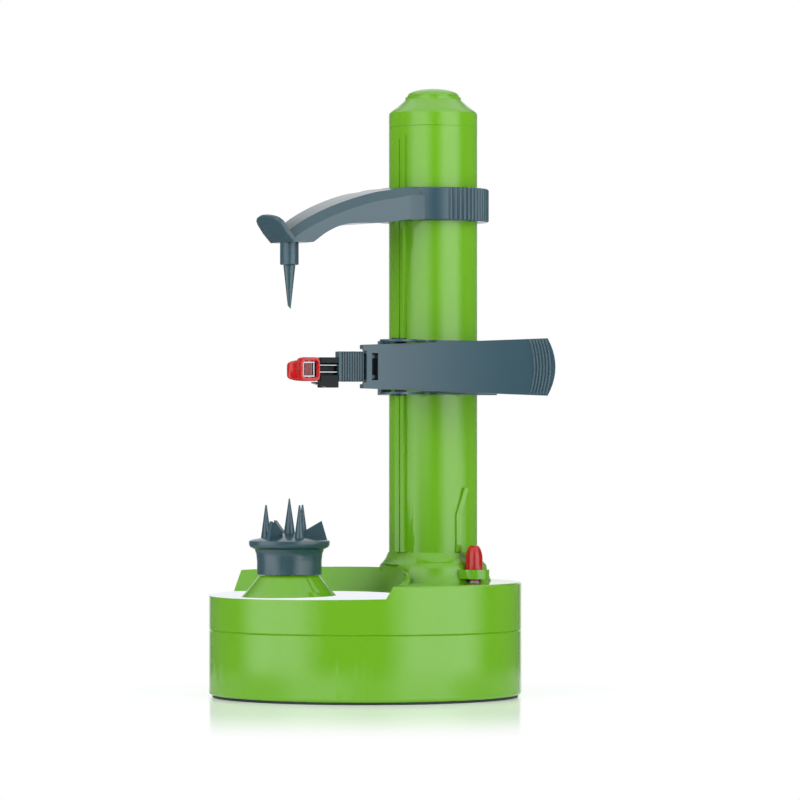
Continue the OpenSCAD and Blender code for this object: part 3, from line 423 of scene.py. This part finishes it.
def dressed(node, width):
    """A copy of a CAD solid with its sharp edges rounded, which takes the solid's place."""
    mesh = frame["nodes"][node].data.copy()
    mesh.name = node + "_skin"
    if mesh.attributes.get("custom_normal"):
        mesh.attributes.remove(mesh.attributes["custom_normal"])
    work = bmesh.new()
    work.from_mesh(mesh)
    bmesh.ops.remove_doubles(work, verts=work.verts, dist=SKIN_WELD)
    bmesh.ops.dissolve_limit(work, angle_limit=math.radians(SKIN_FLAT), verts=work.verts,
                             edges=work.edges)
    for face in work.faces:
        face.smooth = True
    work.to_mesh(mesh)
    work.free()
    skin = bpy.data.objects.new(node + "_skin", mesh)
    bpy.context.scene.collection.objects.link(skin)
    bevel = round_edges(skin, width, SKIN_SEGMENTS, SKIN_ANGLE)
    bevel.miter_outer = "MITER_ARC"
    bevel.use_clamp_overlap = True
    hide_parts(node)
    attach(skin, BODY_OF[node])


for node_name, width in ROUNDING.items():
    dressed(node_name, width)


# The places that the built pieces share, in millimetres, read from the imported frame.
def joint_place(name):
    return next(Vector(joint["pos_m"]) / MM for joint in frame["record"]["behaviour"]["joints"]
                if joint["name"] == name)


def node_top(name):
    """The highest corner of the box round a node."""
    points = [vertex.co / MM for vertex in frame["nodes"][name].data.vertices]
    return Vector(max(point[i] for point in points) for i in range(3))


COLUMN = joint_place("screw_spin")
TURN = joint_place("turntable_spin")
PIVOT = joint_place("lever_swing")
LEVER_YAW = -33.5
HEAD_YAW = LEVER_YAW + 15.5
PIECE_SEGMENTS = 2


def piece(name, build, slot, body, takes=(), width=0.0, angle=35, frame_yaw=0.0, about=(0, 0, 0)):
    """An object whose mesh the given function draws, in millimetres, into a bmesh."""
    work = bmesh.new()
    build(work)
    bmesh.ops.recalc_face_normals(work, faces=work.faces)
    turn = Matrix.Rotation(math.radians(frame_yaw), 3, "Z")
    bmesh.ops.rotate(work, verts=work.verts, cent=(0, 0, 0), matrix=turn)
    for vertex in work.verts:
        vertex.co = (vertex.co + Vector(about)) * MM
    for face in work.faces:
        face.smooth = True
    mesh = bpy.data.meshes.new(name)
    work.to_mesh(mesh)
    work.free()
    made = bpy.data.objects.new(name, mesh)
    bpy.context.scene.collection.objects.link(made)
    mesh.materials.append(FINISH[slot])
    if width:
        round_edges(made, width, PIECE_SEGMENTS, angle)
    else:
        sharp = made.modifiers.new("sharp edges", "EDGE_SPLIT")
        sharp.split_angle = math.radians(angle)
    for node in takes:
        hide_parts(node)
    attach(made, body)


def skin_rows(work, rows, ends=True):
    """A skin over rows of points, each row joined round, with flat ends or none."""
    rings = [[work.verts.new(point) for point in row] for row in rows]
    count = len(rings[0])
    for near, far in zip(rings, rings[1:]):
        for i in range(count):
            j = (i + 1) % count
            work.faces.new((near[i], near[j], far[j], far[i]))
    if ends:
        work.faces.new(rings[0][::-1])
        work.faces.new(rings[-1])
    return rings


def between(points, x):
    """A smooth curve through points given as (x, y) with rising x."""
    k = max(0, min(len(points) - 2, sum(1 for p in points[1:-1] if p[0] <= x)))
    (x1, y1), (x2, y2) = points[k], points[k + 1]
    before = points[max(k - 1, 0)]
    after = points[min(k + 2, len(points) - 1)]
    slope1 = (y2 - before[1]) / (x2 - before[0])
    slope2 = (after[1] - y1) / (after[0] - x1)
    span = x2 - x1
    t = (x - x1) / span
    return ((2 * t ** 3 - 3 * t ** 2 + 1) * y1 + (t ** 3 - 2 * t ** 2 + t) * span * slope1
            + (3 * t ** 2 - 2 * t ** 3) * y2 + (t ** 3 - t ** 2) * span * slope2)


# The sliding arm's ribbed ring, which runs round the column.
ARM_HIGH = node_top("upper_arm")
COLUMN_R = 19.3
SLIDE_GAP = 0.3
RING_R = ARM_HIGH.x - COLUMN.x
RING_TOP = ARM_HIGH.z
RING_H = 14.4
RING_LOW = RING_TOP - RING_H
RING_EDGE = 0.5
RING_STEPS = 720
RIB_PITCH = 5.5
RIB_FROM = -108
RIB_TO = 96
RIB_DEPTH = 0.7
RIB_FULLNESS = 0.7
WELD = 0.001


def ring_row(z, radius, deep):
    """A row round the ring. Its ribs sink by the given depth between their crests."""
    row = []
    for step in range(RING_STEPS):
        angle = 360 * step / RING_STEPS
        signed = (angle + 180) % 360 - 180
        swell = 0
        if RIB_FROM < signed < RIB_TO:
            phase = (signed - RIB_FROM) / RIB_PITCH * math.pi
            swell = abs(math.sin(phase)) ** RIB_FULLNESS - 1
        r = radius + deep * swell
        turn = math.radians(angle)
        row.append((r * math.cos(turn), r * math.sin(turn), z))
    return row


def arm_ring(work):
    inner = COLUMN_R + SLIDE_GAP
    skin_rows(work, [ring_row(RING_LOW, inner, 0), ring_row(RING_LOW, RING_R - RING_EDGE, 0),
                     ring_row(RING_LOW + RING_EDGE, RING_R, RIB_DEPTH),
                     ring_row(RING_TOP - RING_EDGE, RING_R, RIB_DEPTH),
                     ring_row(RING_TOP, RING_R - RING_EDGE, 0),
                     ring_row(RING_TOP, inner, 0), ring_row(RING_LOW, inner, 0)], ends=False)
    bmesh.ops.remove_doubles(work, verts=work.verts, dist=WELD)


# The arm itself, crowned and drooping. Its upper and lower edge are given as shares: how far out
# from the column towards the turntable's axis, and how far down to the tip.
REACH = COLUMN.x - TURN.x
DROP = 24.9
ARM_TOP_SHARES = [(0, 0), (0.3, 0), (0.42, 0.064), (0.5, 0.1), (0.62, 0.193), (0.79, 0.37),
                  (0.94, 0.582), (1.07, 0.827)]
ARM_LOW_SHARES = [(0, 0.578), (0.32, 0.578), (0.5, 0.643), (0.67, 0.657), (0.76, 0.707),
                  (0.86, 0.855), (0.925, 1.0), (0.96, 1.0), (1.06, 1.0)]
ARM_END_SHARE = 1.057
ARM_WIDE = 17.9
ARM_NARROW = 9
TAPER_FROM_SHARE = 0.328
TAPER_SPAN_SHARE = 0.71
CROWN_H = 3.8
CROWN_IN = 3.2
ARM_STEPS = 26
# Points round the arm: the share of its half width, and which of its three heights they lie at.
UNDERSIDE, SHOULDER, CROWN = range(3)
ARM_SECTION_SHARES = [(-0.5, UNDERSIDE), (-1, UNDERSIDE), (-1, SHOULDER), (-0.4, CROWN),
                      (0.4, CROWN), (1, SHOULDER), (1, UNDERSIDE), (0.5, UNDERSIDE)]


def arm_body(work):
    """The arm from inside the ring to its tip. Its root stays open, because the ring hides it."""
    start_r = (RING_R + COLUMN_R) / 2
    end_x = -REACH * ARM_END_SHARE
    rows = []
    for step in range(ARM_STEPS + 1):
        share = step / ARM_STEPS
        row = []
        for side_share, place in ARM_SECTION_SHARES:
            start_x = -math.sqrt(start_r ** 2 - (ARM_WIDE * side_share) ** 2)
            x = start_x + (end_x - start_x) * share
            reach_share = -x / REACH
            taper = max(0, (reach_share - TAPER_FROM_SHARE) / TAPER_SPAN_SHARE)
            half = ARM_WIDE + (ARM_NARROW - ARM_WIDE) * taper
            high = RING_TOP - DROP * between(ARM_TOP_SHARES, reach_share)
            low = RING_TOP - DROP * between(ARM_LOW_SHARES, reach_share)
            if place == UNDERSIDE:
                row.append((x, half * side_share, low))
            elif place == SHOULDER:
                row.append((x, math.copysign(half, side_share), high - CROWN_H))
            else:
                row.append((x, math.copysign(half - CROWN_IN, side_share), high))
        rows.append(row)
    rings = skin_rows(work, rows, ends=False)
    work.faces.new(rings[-1])


TIP_Z = RING_TOP - DROP
WING_LEAN = 49.5
WING_LEN = 14.2
WING_HALF = 9.5
WING_ROUND = 4.0
WING_T = 1.9
WING_CUP = 0.5
WING_HOLLOW = 0.35
WING_EDGE = 0.5
WING_TOP_EDGE = 0.4
WING_STEPS = 16


def arm_wing(work):
    """The thumb plate: it leans out from the tip of the arm and ends in a rounded, cupped edge."""
    lean = math.radians(WING_LEAN)
    root_x = -REACH * ARM_END_SHARE
    rows = []
    for step in range(WING_STEPS + 1):
        side = 2 * step / WING_STEPS - 1
        far = WING_LEN - WING_ROUND + WING_ROUND * math.sqrt(max(0.0, 1 - side * side))
        cup = WING_CUP * side * side
        top = WING_T + cup
        row = []
        for along, up in ((0, cup), (far / 2, cup - WING_HOLLOW), (far - WING_EDGE, cup),
                          (far, cup + WING_EDGE), (far, top - WING_TOP_EDGE),
                          (far - WING_EDGE, top), (far / 2, top - WING_HOLLOW), (0, top)):
            row.append((root_x - along * math.cos(lean) + up * math.sin(lean), WING_HALF * side,
                        TIP_Z + along * math.sin(lean) + up * math.cos(lean)))
        rows.append(row)
    skin_rows(work, rows)


BOSS_R = 4.0
BOSS_TOP = TIP_Z + 1
BOSS_LOW = TIP_Z - 9.5
BOSS_BORE_R = 2.6
BOSS_BORE_DEPTH = 0.6
BOSS_EDGE = 0.3
BOSS_STEPS = 48


def boss_row(radius, z):
    """A circle round the turntable's axis."""
    turns = [2 * math.pi * step / BOSS_STEPS for step in range(BOSS_STEPS)]
    return [(-REACH + radius * math.cos(turn), radius * math.sin(turn), z) for turn in turns]


def arm_boss(work):
    """The boss that carries the upper spike."""
    skin_rows(work, [boss_row(radius, z) for radius, z in (
        (BOSS_BORE_R, BOSS_LOW + BOSS_BORE_DEPTH), (BOSS_BORE_R, BOSS_LOW),
        (BOSS_R - BOSS_EDGE, BOSS_LOW), (BOSS_R, BOSS_LOW + BOSS_EDGE), (BOSS_R, BOSS_TOP))])


def arm_all(work):
    arm_ring(work)
    arm_body(work)
    arm_wing(work)
    arm_boss(work)


piece("arm_skin", arm_all, "grey_plastic", "arm", takes=["upper_arm"], width=0.35, angle=28,
      about=(COLUMN.x, COLUMN.y, 0))

# The yoke of the blade: a frame with round corners, a pocket behind the blade and a round nose.
YOKE_X = (-45.0, -36.0)
YOKE_FRONT = -5.2
YOKE_BACK = 0.8
YOKE_Z = (-6.3, 3.9)
YOKE_BAR = 1.6
YOKE_EDGE = 0.5
YOKE_MID_EDGE = 0.15
POCKET_X = (-43.4, -37.2)
POCKET_Z = (YOKE_Z[0] + YOKE_BAR, YOKE_Z[1] - YOKE_BAR)
POCKET_FLOOR = -0.4
POCKET_EDGE = 0.3
# Rows of the skin, from the pocket's floor over the front edge to the back: how far in from the
# rectangle, the place along Y and the radius of the corners.
POCKET_ROWS = [(POCKET_EDGE, POCKET_FLOOR, 1.2), (0, POCKET_FLOOR - POCKET_EDGE, 1.2),
               (0, YOKE_FRONT + YOKE_EDGE, 1.2),
               (-YOKE_MID_EDGE, YOKE_FRONT + YOKE_MID_EDGE, 1.3), (-YOKE_EDGE, YOKE_FRONT, 1.5)]
YOKE_ROWS = [(YOKE_EDGE, YOKE_FRONT, 1.6), (YOKE_MID_EDGE, YOKE_FRONT + YOKE_MID_EDGE, 1.9),
             (0, YOKE_FRONT + YOKE_EDGE, 2.0), (0, YOKE_BACK - YOKE_EDGE, 2.0),
             (YOKE_EDGE, YOKE_BACK, 1.6)]
NOSE_ROOT = POCKET_X[0] - 0.6
NOSE_TIP = -49.4
NOSE_Y = (-4.2, 0.8)
NOSE_Z = (-6.2, 2.7)
NOSE_ROUND = 1.1
NOSE_TAPER = 1.9
NOSE_STEPS = 10
CORNER_STEPS = 6


def round_box_row(low, high, radius, place):
    """A rectangle with round corners, whose two coordinates the given function places in space."""
    row = []
    for turn, (u, v) in enumerate(((high[0], high[1]), (low[0], high[1]), (low[0], low[1]),
                                   (high[0], low[1]))):
        cu = u - radius if turn in (0, 3) else u + radius
        cv = v - radius if turn in (0, 1) else v + radius
        for step in range(CORNER_STEPS + 1):
            angle = math.radians(90 * turn + 90 * step / CORNER_STEPS)
            row.append(place(cu + radius * math.cos(angle), cv + radius * math.sin(angle)))
    return row


def yoke_frame(work):
    rows = []
    for x, z, profile in ((POCKET_X, POCKET_Z, POCKET_ROWS), (YOKE_X, YOKE_Z, YOKE_ROWS)):
        for inset, y, radius in profile:
            rows.append(round_box_row((x[0] + inset, z[0] + inset), (x[1] - inset, z[1] - inset),
                                      radius, lambda u, v: (u, y, v)))
    skin_rows(work, rows)


def yoke_nose(work):
    rows = []
    for step in range(NOSE_STEPS + 1):
        turn = step / NOSE_STEPS * math.pi / 2
        x = NOSE_ROOT - (NOSE_ROOT - NOSE_TIP) * math.sin(turn)
        inset = NOSE_TAPER * (1 - math.cos(turn))
        rows.append(round_box_row((NOSE_Y[0] + inset, NOSE_Z[0] + inset),
                                  (NOSE_Y[1] - inset / 2, NOSE_Z[1] - inset), NOSE_ROUND,
                                  lambda u, v: (x, u, v)))
    skin_rows(work, rows)


def yoke_all(work):
    yoke_frame(work)
    yoke_nose(work)


piece("yoke_skin", yoke_all, "red_plastic", "cartridge", takes=["blade_yoke"], angle=40,
      frame_yaw=HEAD_YAW, about=PIVOT)

# The thumb end of the lever carries ridges that follow its round edge.
LEVER_CURVE_R = 280
LEVER_LEN = 81.1
LEVER_LEFT = -14
LEVER_CX = LEVER_LEFT + LEVER_LEN
LEVER_FRONT = -5.66
LEVER_CY = LEVER_FRONT - math.sqrt(LEVER_CURVE_R ** 2 - LEVER_CX ** 2)
LEVER_HALF = 12.3
LEVER_END_BULGE = 2.0
RIDGE_FIRST = 9.0
RIDGE_PITCH = 1.34
RIDGE_COUNT = 6
RIDGE_HALF = 0.5
RIDGE_RISE = 0.45
RIDGE_SINK = 0.15
RIDGE_INSET = 0.35
RIDGE_TAPER = 8
RIDGE_STEPS = 28
RIDGE_SIDES = 6


def lever_front(x):
    return LEVER_CY + math.sqrt(LEVER_CURVE_R ** 2 - (x - LEVER_CX) ** 2)


def lever_ridges(work):
    for ridge in range(RIDGE_COUNT):
        rows = []
        for step in range(RIDGE_STEPS + 1):
            share = 2 * step / RIDGE_STEPS - 1
            rise = RIDGE_RISE * min(1.0, RIDGE_TAPER * (1 - abs(share))) + RIDGE_SINK
            x = LEVER_CX - LEVER_END_BULGE * share * share - RIDGE_FIRST + RIDGE_PITCH * ridge
            row = []
            for side in range(RIDGE_SIDES + 1):
                turn = math.pi * side / RIDGE_SIDES
                across = x - RIDGE_HALF * math.cos(turn)
                row.append((across, lever_front(across) + RIDGE_SINK - rise * math.sin(turn),
                            share * (LEVER_HALF - RIDGE_INSET)))
            rows.append(row)
        skin_rows(work, rows)


piece("lever_ridges", lever_ridges, "grey_plastic", "lever", angle=50, frame_yaw=LEVER_YAW,
      about=PIVOT)

make_camera()
make_world()
make_floor()
soft_box("box_left", -55, 8, 1.0, 1.7, 22)
soft_box("box_right", 57, 8, 1.0, 1.7, 22)
soft_box("box_top", 0, 80, 1.0, 1.0, 3)
bpy.context.scene.view_settings.view_transform = "Standard"
